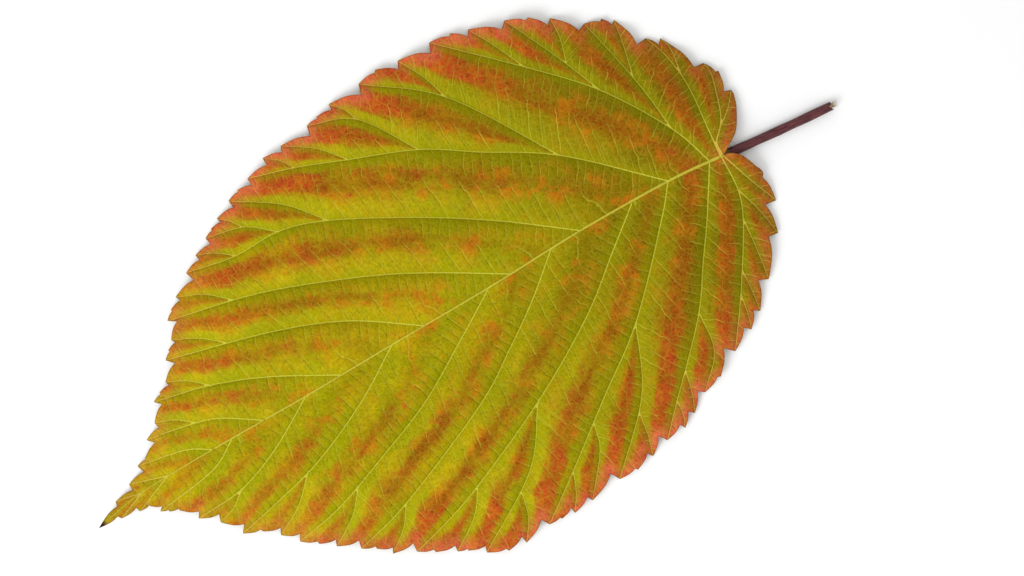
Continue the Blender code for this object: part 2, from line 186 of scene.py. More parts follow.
# The lobes' smooth margin, from the stalk out towards the first tooth
LEFT_LOBE = ((-1.3, -0.7), (-3.7, -2.3), (-5.6, -5.2), (-6.2, -6.8))
RIGHT_LOBE = ((-1.0, 0.2), (-2.5, 1.5), (-3.6, 4.1))

# The notch after a tooth. Its depth goes by the vein that the tooth is on, and grows with the gap.
NOTCH_STEP = 0.12  # where it lies, as a share of the way to the next tooth
MAIN_NOTCH = 0.62
BRANCH_NOTCH = 0.50
SMALL_NOTCH = 0.16
NOTCH_GROWTH = 0.35  # for each millimetre between the two teeth
DEEPEST_NOTCH = 1.6
NOTCH_UNEVEN = 0.15
NOTCH_TURN = 2.4  # radians from one notch's unevenness to the next one's
TIP_TEETH = 10.0  # the notches get shallower this near the tip

# Back of a tooth: how far it bows out at each share of its length
BACK_BOWS = ((0.18, 0.05), (0.42, 0.075), (0.72, 0.045))

# Net of the blade
FILL_STEP = 0.52  # spacing of the points between the veins
LINE_STEP = 0.45  # spacing along a vein and along the margin
VEIN_FLANKS = (0.24, 0.55)  # rows of points beside each vein
MIDRIB_FLANKS = (0.3, 0.6, 0.95, 1.4)

# Form of the upper face
MARGIN_LEVEL = 0.45
BASE_LIFT, BASE_REACH = 1.9, 6.0
TIP_LIFT, TIP_START = 1.6, 88.0
WIDE_PANEL = 9.0  # a panel this wide between its veins has the full pleat
MIDRIB_TROUGH = 5.0  # the pleats fade out this near the midrib
FOLD_AT = 0.44  # where the crest of a pleat lies, from the basal vein to the distal one
FOLD_POWER = np.log(0.5) / np.log(FOLD_AT)
MIDRIB_AT_BASE, MIDRIB_AT_TIP = 1.80, 0.55

# Cross veins: spacing, and how far a vein's foot lags behind each mm away from its side vein
LONG_SPACING, LONG_SLANT = 2.6, 0.72
SHORT_SPACING, SHORT_SLANT = 1.45, -0.15
GROUP_SHIFT = 7.3  # sets the cross veins of one group of veins off from those of the next

# Half width of a side vein: at its end, its gain towards the midrib, that gain's power, a branch's share
VEIN_END, VEIN_GAIN, VEIN_TAPER, BRANCH_SHARE = 0.06, 0.035, 0.8, 0.85


def smooth_line(points, step):
    """Points about a step apart on a Catmull-Rom curve through the given ones."""
    points = np.array(points, float)
    padded = np.vstack([2 * points[0] - points[1], points, 2 * points[-1] - points[-2]])
    line = [points[0]]
    for p0, p1, p2, p3 in zip(padded, padded[1:], padded[2:], padded[3:]):
        count = max(1, round(np.linalg.norm(p2 - p1) / step))
        for t in np.arange(1, count + 1) / count:
            line.append(
                0.5 * (2 * p1 + (p2 - p0) * t + (2 * p0 - 5 * p1 + 4 * p2 - p3) * t**2
                       + (3 * p1 - p0 - 3 * p2 + p3) * t**3)
            )
    return np.array(line)


def smoothstep(value, low, high):
    """Smoothly from 0 to 1 as the value goes from low to high."""
    t = np.clip((value - low) / (high - low), 0, 1)
    return t * t * (3 - 2 * t)


def tooth_back(notch, apex, outward):
    """The bowed back of a tooth, from the notch before it to its apex."""
    notch, apex = np.array(notch, float), np.array(apex, float)
    way = apex - notch
    out = outward * np.array([way[1], -way[0]])
    bows = [notch + share * way + bow * out for share, bow in BACK_BOWS]
    return list(smooth_line([notch, *bows, apex], LINE_STEP)[1:])


def notch_after(apex, following, notch, number, outward):
    """The notch between a tooth and the one that follows it."""
    way = following - apex
    gap = np.hypot(*way)
    out = outward * np.array([way[1], -way[0]]) / gap
    depth = min(notch * (1 + NOTCH_GROWTH * gap), DEEPEST_NOTCH)
    depth *= (1 + NOTCH_UNEVEN * np.sin(NOTCH_TURN * number)) * min(1, (TIP[0] - apex[0]) / TIP_TEETH)
    return apex + NOTCH_STEP * way - depth * out


def half_margin(veins, small_teeth, lobe, outward):
    """The margin of one half of the blade, from the stalk to the tip."""
    teeth = [(group[0][-1], MAIN_NOTCH) for group in veins]
    teeth += [(line[-1], BRANCH_NOTCH) for group in veins for line in group[1:]]
    teeth += [(apex, SMALL_NOTCH) for apex in small_teeth]
    # Seen from the middle of the blade, the teeth follow each other by angle.
    teeth.sort(key=lambda tooth: -np.arctan2(abs(tooth[0][1]), tooth[0][0] - TIP[0] / 2))
    apexes = [np.array(apex, float) for apex, _ in teeth] + [np.array(TIP)]
    margin = list(smooth_line(((0, 0), *lobe), LINE_STEP)[1:])
    before = margin[-1]
    for number, (_, notch) in enumerate(teeth):
        apex, following = apexes[number : number + 2]
        after = notch_after(apex, following, notch, number, outward)
        margin += tooth_back(before, apex, outward) + list(smooth_line((apex, after), LINE_STEP)[1:])
        before = after
    return margin + tooth_back(before, TIP, outward)


def blade_outline():
    """The margin as a closed line, anticlockwise from the base."""
    left = half_margin(LEFT_VEINS, LEFT_SMALL_TEETH, LEFT_LOBE, 1)
    right = half_margin(RIGHT_VEINS, RIGHT_SMALL_TEETH, RIGHT_LOBE, -1)
    return np.array([np.zeros(2)] + left + right[-2::-1])


def closed(line):
    """The line, ending where it starts."""
    return np.vstack([line, line[:1]])


def to_line(points, line):
    """Distance to a line, the side of it, the length along it to the foot, and whether that is its start."""
    start, way = line[:-1], np.diff(line, axis=0)
    reach = np.hypot(way[:, 0], way[:, 1])
    along = np.concatenate([[0], np.cumsum(reach)[:-1]])
    out = np.empty((4, len(points)))
    for part in np.array_split(np.arange(len(points)), 1 + len(points) * len(way) // 2_000_000):
        offset = points[part][:, None] - start
        share = np.clip((offset * way).sum(2) / (way**2).sum(1), 0, 1)
        gap = offset - share[..., None] * way
        length = np.hypot(gap[..., 0], gap[..., 1])
        near = length.argmin(1)
        row = np.arange(len(part))
        cross = way[near, 0] * offset[row, near, 1] - way[near, 1] * offset[row, near, 0]
        foot = share[row, near]
        out[:, part] = (length[row, near], np.sign(cross), along[near] + foot * reach[near],
                        (near == 0) & (foot == 0))
    return out


def inside(points, outline):
    """Whether each point lies inside the closed outline, by counting crossings."""
    a, b = outline, np.roll(outline, -1, axis=0)
    rise = np.where(b[:, 1] == a[:, 1], 1.0, b[:, 1] - a[:, 1])
    found = np.empty(len(points), bool)
    for part in np.array_split(np.arange(len(points)), 1 + len(points) * len(a) // 4_000_000):
        x, y = points[part, :1], points[part, 1:]
        spans = (a[:, 1] > y) != (b[:, 1] > y)
        cut = a[:, 0] + (y - a[:, 1]) * (b[:, 0] - a[:, 0]) / rise
        found[part] = (spans & (x < cut)).sum(1) % 2 == 1
    return found


def beside(line, gap):
    """The line moved sideways by a gap."""
    way = np.gradient(line, axis=0)
    return line + gap * np.stack([-way[:, 1], way[:, 0]], axis=1) / np.linalg.norm(way, axis=1)[:, None]


def all_veins():
    """Every vein and branch: half of the blade (-1 left, 1 right), group, whether it is the trunk, line."""
    for half, groups in ((-1, LEFT_VEINS), (1, RIGHT_VEINS)):
        for number, group in enumerate(groups):
            for i, line in enumerate(group):
                yield half, number, i == 0, smooth_line(line, LINE_STEP)


def blade_net(outline):
    """Points and triangles that fill the outline, with edges along the veins and rows beside them."""
    midrib = smooth_line(MIDRIB, LINE_STEP)
    veins = [line for _, _, _, line in all_veins()]
    rows = [beside(midrib, side * gap) for gap in MIDRIB_FLANKS for side in (-1, 1)]
    rows += [beside(line, side * gap)[1:] for line in veins for gap in VEIN_FLANKS for side in (-1, 1)]
    rows = np.vstack(rows)
    columns = np.arange(outline[:, 0].min(), outline[:, 0].max(), FILL_STEP)
    levels = np.arange(outline[:, 1].min(), outline[:, 1].max(), FILL_STEP * 0.866)
    fill = np.array([(x + (j % 2) * FILL_STEP / 2, y) for x in columns for j, y in enumerate(levels)])
    lines = [midrib] + veins
    rim = closed(outline)

    def clear_of_lines(points, margin_gap, vein_gap, rib_gap):
        keep = inside(points, outline)
        points = points[keep]
        keep = to_line(points, rim)[0] > margin_gap
        keep &= to_line(points, midrib)[0] > rib_gap
        for line in veins:
            near = np.abs(points - line.mean(0)).max(1) < np.ptp(line, axis=0).max() + 1
            near &= keep
            keep[near] = to_line(points[near], line)[0] > vein_gap
        return points[keep]

    rows = clear_of_lines(rows, 0.14, 0.2, 0.25)
    fill = clear_of_lines(fill, 0.3, 0.55 + 0.5 * FILL_STEP, MIDRIB_FLANKS[-1] + 0.4 * FILL_STEP)
    points, edges = list(outline), [(i, (i + 1) % len(outline)) for i in range(len(outline))]
    for line in lines:
        edges += [(i, i + 1) for i in range(len(points), len(points) + len(line) - 1)]
        points += list(line)
    points += list(rows) + list(fill)
    found = delaunay_2d_cdt([Vector(p) for p in points], edges, [], 0, 1e-3, False)
    points = np.array([tuple(p) for p in found[0]])
    faces = np.array([face[:] for face in found[2]])
    return points, faces[inside(points[faces].mean(1), outline)]


def wander(points, size, seed):
    """Smooth noise of about -1 to 1 over the blade, with features of about the given size."""
    rng = np.random.default_rng(seed)
    total = np.zeros(len(points))
    for _ in range(7):
        angle, phase = rng.uniform(0, 2 * np.pi, 2)
        wave = 2 * np.pi / (size * rng.uniform(0.8, 1.7))
        bend = 0.7 * np.sin(points @ (np.sin(angle), -np.cos(angle)) * wave * 0.6 + phase * 2)
        total += np.sin(points @ (np.cos(angle), np.sin(angle)) * wave + phase + bend)
    return total / 3.2


class Survey:
    """For each point of the net: its gaps to margin, midrib and side veins, and for each corner its panel."""

    def __init__(self, points, faces, outline):
        count = len(points)
        self.points, self.faces = points, faces
        self.margin = to_line(points, closed(outline))[0]
        midrib = smooth_line(MIDRIB, LINE_STEP)
        self.midrib, side, self.rib_along, _ = to_line(points, midrib)
        half = np.where(points[:, 0] > 0, side, np.sign(points[:, 1] + 0.1 * points[:, 0]))
        half[self.midrib < 1e-3] = 0
        veins = list(all_veins())
        signed = np.full((len(veins), count), np.inf, np.float32)  # above 0 on the basal side
        along = np.zeros((len(veins), count), np.float32)
        self.vein = np.full(count, np.inf)  # gap to the nearest side vein, in its half widths
        self.vein_mm = np.full(count, np.inf)
        self.vein_size = np.zeros(count)
        for i, (vein_half, group, trunk, line) in enumerate(veins):
            gap, turn, foot, at_start = to_line(points, line)
            here = half * vein_half >= 0
            length = np.linalg.norm(np.diff(line, axis=0), axis=1).sum()
            before = self.parent_length(veins, i)
            total = before + length
            left = np.clip(1 - (before + foot) / total, 0, 1)
            half_width = (VEIN_END + VEIN_GAIN * left**VEIN_TAPER) * (1 if trunk else BRANCH_SHARE)
            nearer = here & (gap / half_width < self.vein)
            self.vein[nearer] = (gap / half_width)[nearer]
            self.vein_size[nearer] = left[nearer]
            self.vein_mm = np.where(here, np.minimum(self.vein_mm, gap), self.vein_mm)
            use = here & (trunk | (at_start == 0))
            signed[i, use] = (gap * turn * vein_half)[use]
            along[i] = before + foot + GROUP_SHIFT * group
        self.set_panels(signed, along)

    @staticmethod
    def parent_length(veins, i):
        """Length along the parent vein to where this branch leaves it."""
        half, group, trunk, line = veins[i]
        if trunk:
            return 0.0
        best, reach = np.inf, 0.0
        for j in range(i - 1, -1, -1):
            if veins[j][:2] != (half, group):
                break
            gap, _, foot, _ = to_line(line[:1], veins[j][3])
            if gap[0] < best - 0.05:
                best, reach = gap[0], foot[0] + Survey.parent_length(veins, j)
        return reach

    def set_panels(self, signed, along):
        """The share across its panel and the phases of the cross veins, at each corner of each triangle."""
        faces = self.faces
        gap = np.abs(signed)
        at_face = signed[:, faces].mean(2)
        basal = np.where(at_face < 0, -at_face, np.inf)
        distal = np.where((at_face > 0) & np.isfinite(at_face), at_face, np.inf)
        a, b = basal.argmin(0), distal.argmin(0)
        no_a, no_b = ~np.isfinite(basal.min(0)), ~np.isfinite(distal.min(0))
        gap_a, gap_b = gap[a[:, None], faces], gap[b[:, None], faces]
        gap_a = np.where(no_a[:, None], np.minimum(self.margin[faces], WIDE_PANEL), gap_a)
        gap_b = np.where(no_b[:, None], self.midrib[faces], gap_b)
        along_a = along[a[:, None], faces]
        along_b = np.where(no_b[:, None], self.rib_along[faces], along[b[:, None], faces])
        width = gap_a + gap_b
        self.share = gap_a / np.maximum(width, 1e-6)
        self.share[no_a] = np.maximum(self.share[no_a], 0.55)
        self.long_phase = (along_b - LONG_SLANT * gap_b) / LONG_SPACING
        self.short_phase = (along_a - SHORT_SLANT * gap_a) / SHORT_SPACING
        # The heights need one value a point, and the pleat is the same on either side of a vein.
        pleat = np.clip(width / WIDE_PANEL, 0, 1) * np.sin(np.pi * np.clip(self.share, 0, 1) ** FOLD_POWER)
        long_waves = np.cos(2 * np.pi * self.long_phase) * smoothstep(self.share, 0.45, 0.7)
        short_waves = np.cos(2 * np.pi * self.short_phase) * smoothstep(self.share, 0.45, 0.2)
        quilt = long_waves * smoothstep(gap_b, 0, 1.2) + short_waves * smoothstep(gap_a, 0, 0.9)
        self.pleat, self.quilt = (self.point_mean(value) for value in (pleat, quilt))

    def point_mean(self, values):
        """The mean over its corners, for each point."""
        total = np.bincount(self.faces.ravel(), values.ravel(), len(self.points))
        return total / np.maximum(np.bincount(self.faces.ravel(), minlength=len(self.points)), 1)


def sole_height(x):
    """Height of the midrib's sole, which lies flat and rises only at the tip."""
    return TIP_LIFT * (np.clip(x - TIP_START, 0, None) / (TIP[0] - TIP_START)) ** 2


def upper_face(s, size):
    """Height of the upper face: arched and pleated from midrib to margin, and dipped at the veins."""
    points, x = s.points, s.points[:, 0]
    half_width = np.maximum(s.midrib + s.margin, 1e-9)
    across = s.midrib / half_width
    depth = MIDRIB_AT_BASE + (MIDRIB_AT_TIP - MIDRIB_AT_BASE) * np.clip(x, 0, TIP[0]) / TIP[0]
    midrib = depth + sole_height(x)
    beside_stalk = BASE_LIFT * np.exp(-((np.hypot(*points.T) / BASE_REACH) ** 2))
    tip = np.clip(1 - (x - TIP_START) / (TIP[0] - TIP_START), 0, 1)
    margin = MARGIN_LEVEL * tip + midrib * (1 - tip) + beside_stalk
    level = midrib * (1 - across) + margin * across
    arch = size.arch * np.sin(np.pi * across) * np.clip(half_width / 25, 0, 1)
    off_midrib = 1 - np.exp(-((s.midrib / MIDRIB_TROUGH) ** 2))
    pleat = size.pleat * off_midrib * s.pleat
    vein = size.vein_dip * (0.35 + 0.65 * s.vein_size) * np.exp(-((s.vein_mm / 0.75) ** 2))
    rib = size.vein_dip * (np.exp(-((s.midrib / 1.3) ** 2)) - 1.1 * np.exp(-((s.midrib / 0.45) ** 2)))
    quilt = -size.quilt * s.quilt * smoothstep(s.margin, 0, 1.5) * smoothstep(s.midrib, 0.5, 2)
    swell = 0.16 * wander(points, 16, 3) * across + 0.05 * wander(points, 5, 8) * across
    edge = 1 - smoothstep(s.margin, 0, 2.2)
    curl = edge * (0.30 * wander(points, 7, 21) + 0.12) * tip
    return np.maximum(level + arch + pleat - vein - rib + quilt + swell + curl, 0.12)


def lower_face(s, top, size):
    """Height of the lower face: the lamina, thin at the margin, with the veins as rounded ridges."""
    thin = size.lamina * (0.45 + 0.55 * smoothstep(s.margin, 0, 0.8))
    ridge = (0.10 + 0.38 * s.vein_size) * np.exp(-((s.vein_mm / 0.34) ** 2)) * smoothstep(s.margin, 0.1, 2)
    lamina = top - thin - ridge
    flank = np.exp(-((s.midrib / 0.62) ** 4)) * smoothstep(s.margin, 0.05, 0.6)
    return np.maximum(lamina * (1 - flank) + sole_height(s.points[:, 0]) * flank, 0.0)


def srgb(red, green, blue):
    """A linear colour from 8-bit screen values."""
    screen = (red, green, blue)
    return tuple(((c / 255 + 0.055) / 1.055) ** 2.4 if c > 10 else c / 255 / 12.92 for c in screen)


def feed(tree, socket, value):
    """Set a socket to a value, or link it from another socket."""
    if isinstance(value, bpy.types.NodeSocket):
        tree.links.new(value, socket)
    else:
        socket.default_value = value


def add(tree, kind, settings=None, **inputs):
    """A node with its settings, and each named input set to a value or linked from a socket."""
    made = tree.nodes.new("ShaderNode" + kind)
    for key, value in (settings or {}).items():
        setattr(made, key, value)
    for key, value in inputs.items():
        feed(tree, made.inputs[key.replace("_", " ")], value)
    return made


def maths(tree, operation, *values, clamp=False):
    """The result of one operation on values or sockets."""
    made = add(tree, "Math", {"operation": operation, "use_clamp": clamp})
    for socket, value in zip(made.inputs, values):
        feed(tree, socket, value)
    return made.outputs[0]


def product(tree, *values):
    """The product of two or more values."""
    total = values[0]
    for value in values[1:]:
        total = maths(tree, "MULTIPLY", total, value)
    return total


def ramp(tree, value, low, high, start=0.0, end=1.0):
    """Smoothly from start to end as the value goes from low to high."""
    settings = {"interpolation_type": "SMOOTHSTEP"}
    return add(tree, "MapRange", settings, Value=value, From_Min=low, From_Max=high, To_Min=start,
               To_Max=end).outputs[0]


# Sockets of a Mix node for colours, by number, because those of its other types have the same names
MIX_SHARE, MIX_FIRST, MIX_SECOND, MIX_RESULT = 0, 6, 7, 2


def blend(tree, share, first, second, mode="MIX"):
    """A mix of two colours; each may be a socket or a linear colour."""
    made = add(tree, "Mix", {"data_type": "RGBA", "blend_type": mode})
    feed(tree, made.inputs[MIX_SHARE], share)
    for index, value in ((MIX_FIRST, first), (MIX_SECOND, second)):
        feed(tree, made.inputs[index], value if isinstance(value, bpy.types.NodeSocket) else (*value[:3], 1))
    return made.outputs[MIX_RESULT]


def stored(tree, name):
    """The three numbers that the mesh stores under a name, as sockets."""
    attribute = add(tree, "Attribute", {"attribute_name": name})
    return add(tree, "SeparateXYZ", Vector=attribute.outputs["Vector"]).outputs


def group(name, inputs, outputs):
    """An empty node group with float sockets, or a vector where the name says so."""
    tree = bpy.data.node_groups.new(name, "ShaderNodeTree")
    for in_out, names in (("INPUT", inputs), ("OUTPUT", outputs)):
        for socket in names:
            kind = "NodeSocketVector" if socket == "Vector" else "NodeSocketFloat"
            tree.interface.new_socket(socket, in_out=in_out, socket_type=kind)
    return tree, tree.nodes.new("NodeGroupInput").outputs, tree.nodes.new("NodeGroupOutput").inputs


def place(tree, source, **inputs):
    """A node group placed in a material, with its inputs set or linked."""
    made = tree.nodes.new("ShaderNodeGroup")
    made.node_tree = source
    for key, value in inputs.items():
        feed(tree, made.inputs[key.replace("_", " ")], value)
    return made.outputs


def blotches_group():
    """Soft irregular patches of a given size."""
    tree, given, result = group("Blotches", ("Vector", "Size", "Low", "High"), ("Mask",))
    scale = maths(tree, "DIVIDE", 1.0, given["Size"])
    noise = add(tree, "TexNoise", Vector=given["Vector"], Scale=scale, Detail=3.5, Roughness=0.58,
                Distortion=0.3)
    tree.links.new(ramp(tree, noise.outputs[0], given["Low"], given["High"]), result["Mask"])
    return tree


def cross_veins_group():
    """Thin parallel veins, one at each whole number of the phase, a little uneven in place and strength."""
    names = ("Vector", "Phase", "Spacing", "Width", "Wobble")
    tree, given, result = group("Cross veins", names, ("Mask", "Groove"))
    noise = add(tree, "TexNoise", Vector=given["Vector"], Scale=0.55, Detail=3.0, Roughness=0.55)
    shift = maths(tree, "MULTIPLY", maths(tree, "SUBTRACT", noise.outputs[0], 0.5), given["Wobble"])
    phase = maths(tree, "ADD", given["Phase"], shift)
    number = maths(tree, "ROUND", phase)
    strength = add(tree, "TexWhiteNoise", {"noise_dimensions": "1D"}, W=number).outputs["Value"]
    offset = maths(tree, "MULTIPLY", maths(tree, "SUBTRACT", strength, 0.5), 0.35)
    from_vein = maths(tree, "PINGPONG", maths(tree, "ADD", phase, offset), 0.5)
    gap = maths(tree, "MULTIPLY", from_vein, given["Spacing"])
    ridge = maths(tree, "MULTIPLY", given["Width"], 0.35)
    foot = maths(tree, "MULTIPLY", given["Width"], 1.3)
    line = ramp(tree, gap, ridge, foot, 1.0, 0.0)
    strength = maths(tree, "MULTIPLY_ADD", strength, 0.55, 0.45)
    tree.links.new(maths(tree, "MULTIPLY", line, strength), result["Mask"])
    tree.links.new(maths(tree, "MULTIPLY", ramp(tree, gap, 0.0, 0.40, 1.0, 0.0), strength), result["Groove"])
    return tree


def fine_net_group():
    """The net of the smallest veins, and the pillows of tissue between them."""
    tree, given, result = group("Fine net", ("Vector", "Cell", "Width"), ("Mask", "Pillow"))
    noise = add(tree, "TexNoise", Vector=given["Vector"], Scale=0.9, Detail=2.0)
    warp = add(tree, "VectorMath", {"operation": "SCALE"}, Vector=noise.outputs["Color"], Scale=0.9)
    where = add(tree, "VectorMath", {"operation": "ADD"}, Vector=given["Vector"])
    tree.links.new(warp.outputs[0], where.inputs[1])
    scale = maths(tree, "DIVIDE", 1.0, given["Cell"])
    edges = add(tree, "TexVoronoi", {"feature": "DISTANCE_TO_EDGE"}, Vector=where.outputs[0], Scale=scale)
    gap = maths(tree, "MULTIPLY", edges.outputs["Distance"], given["Cell"])
    tree.links.new(ramp(tree, gap, maths(tree, "MULTIPLY", given["Width"], 0.3), given["Width"], 1.0, 0.0),
                   result["Mask"])
    tree.links.new(ramp(tree, edges.outputs["Distance"], 0.0, 0.3), result["Pillow"])
    return tree


def speckle_group():
    """Fine grain of the tissue."""
    tree, given, result = group("Speckle", ("Vector", "Size"), ("Value",))
    scale = maths(tree, "DIVIDE", 1.0, given["Size"])
    noise = add(tree, "TexNoise", Vector=given["Vector"], Scale=scale, Detail=4.0, Roughness=0.7)
    tree.links.new(noise.outputs[0], result["Value"])
    return tree


GROUPS = {}


def shared(name):
    """A shared node group, built the first time that it is asked for."""
    builders = {"blotches": blotches_group, "cross veins": cross_veins_group, "fine net": fine_net_group,
                "speckle": speckle_group}
    if name not in GROUPS:
        GROUPS[name] = builders[name]()
    return GROUPS[name]


def new_material(name):
    """A material with its Principled shader and the object's coordinates in millimetres."""
    material = bpy.data.materials.new(name)
    material.use_nodes = True
    tree = material.node_tree
    shader = tree.nodes["Principled BSDF"]
    metres = tree.nodes.new("ShaderNodeTexCoord").outputs["Object"]
    where = add(tree, "VectorMath", {"operation": "SCALE"}, Vector=metres, Scale=1000.0).outputs[0]
    return material, tree, shader, where


def set_bump(tree, shader, height, depth):
    """Bump of the given depth in metres on the shader's normal."""
    bump = add(tree, "Bump", Height=height, Distance=depth, Strength=1.0)
    tree.links.new(bump.outputs[0], shader.inputs["Normal"])


class BladeMap:
    """The blade's own maps as shader sockets: gaps to its veins and margin, and its cross veins."""

    def __init__(self, tree, where, vein_width):
        self.vein_gap, self.rib_gap, self.margin = stored(tree, "gaps")
        self.share, long_phase, short_phase = stored(tree, "panel")
        self.vein_mm, self.along, self.across = stored(tree, "form")
        self.fold, self.halo = self.fold_bands(tree, long_phase)
        self.vein = ramp(tree, self.vein_gap, 0.6, 1.35, 1.0, 0.0)
        self.rib = ramp(tree, self.rib_gap, 0.75, 1.2, 1.0, 0.0)
        long = place(tree, shared("cross veins"), Vector=where, Phase=long_phase, Spacing=LONG_SPACING,
                     Width=vein_width, Wobble=0.45)
        short = place(tree, shared("cross veins"), Vector=where, Phase=short_phase, Spacing=SHORT_SPACING,
                      Width=0.8 * vein_width, Wobble=0.7)
        doubled = maths(tree, "MULTIPLY_ADD", long_phase, 2, 0.3)
        between = place(tree, shared("cross veins"), Vector=where, Phase=doubled, Spacing=LONG_SPACING / 2,
                        Width=0.7 * vein_width, Wobble=0.6)
        near_distal = ramp(tree, self.share, 0.36, 0.56)
        near_basal = ramp(tree, self.share, 0.24, 0.44, 1.0, 0.0)
        self.cross = maths(tree, "MAXIMUM", maths(tree, "MULTIPLY", long["Mask"], near_distal),
                           maths(tree, "MULTIPLY", short["Mask"], near_basal))
        beside = maths(tree, "MULTIPLY", between["Mask"], ramp(tree, self.share, 0.62, 0.84))
        self.cross = maths(tree, "MAXIMUM", self.cross, beside)
        self.groove = maths(tree, "MAXIMUM", maths(tree, "MULTIPLY", long["Groove"], near_distal),
                            maths(tree, "MULTIPLY", short["Groove"], near_basal))
        net = place(tree, shared("fine net"), Vector=where, Cell=0.62, Width=0.08)
        coarse = place(tree, shared("fine net"), Vector=where, Cell=1.5, Width=0.10)
        self.net, self.pillow = net["Mask"], net["Pillow"]
        self.coarse_net, self.coarse_pillow = coarse["Mask"], coarse["Pillow"]

    def fold_bands(self, tree, phase):
        """Masks of a narrow and of a broad streaky band along the crest of each pleat."""
        streak = add(tree, "CombineXYZ", X=maths(tree, "MULTIPLY", self.share, 5.0),
                     Y=maths(tree, "MULTIPLY", phase, 0.3), Z=maths(tree, "MULTIPLY", self.along, 12.0))
        noise = add(tree, "TexNoise", Vector=streak.outputs[0], Scale=1.0, Detail=3.0, Roughness=0.6)
        moved = maths(tree, "MULTIPLY_ADD", noise.outputs[0], 0.36, self.share)
        gap = maths(tree, "ABSOLUTE", maths(tree, "SUBTRACT", moved, FOLD_AT + 0.18))
        return ramp(tree, gap, 0.0, 0.19, 1.0, 0.0), ramp(tree, gap, 0.05, 0.38, 1.0, 0.0)


def patch(tree, where, size, low, high):
    """A mask of soft patches."""
    return place(tree, shared("blotches"), Vector=where, Size=size, Low=low, High=high)["Mask"]


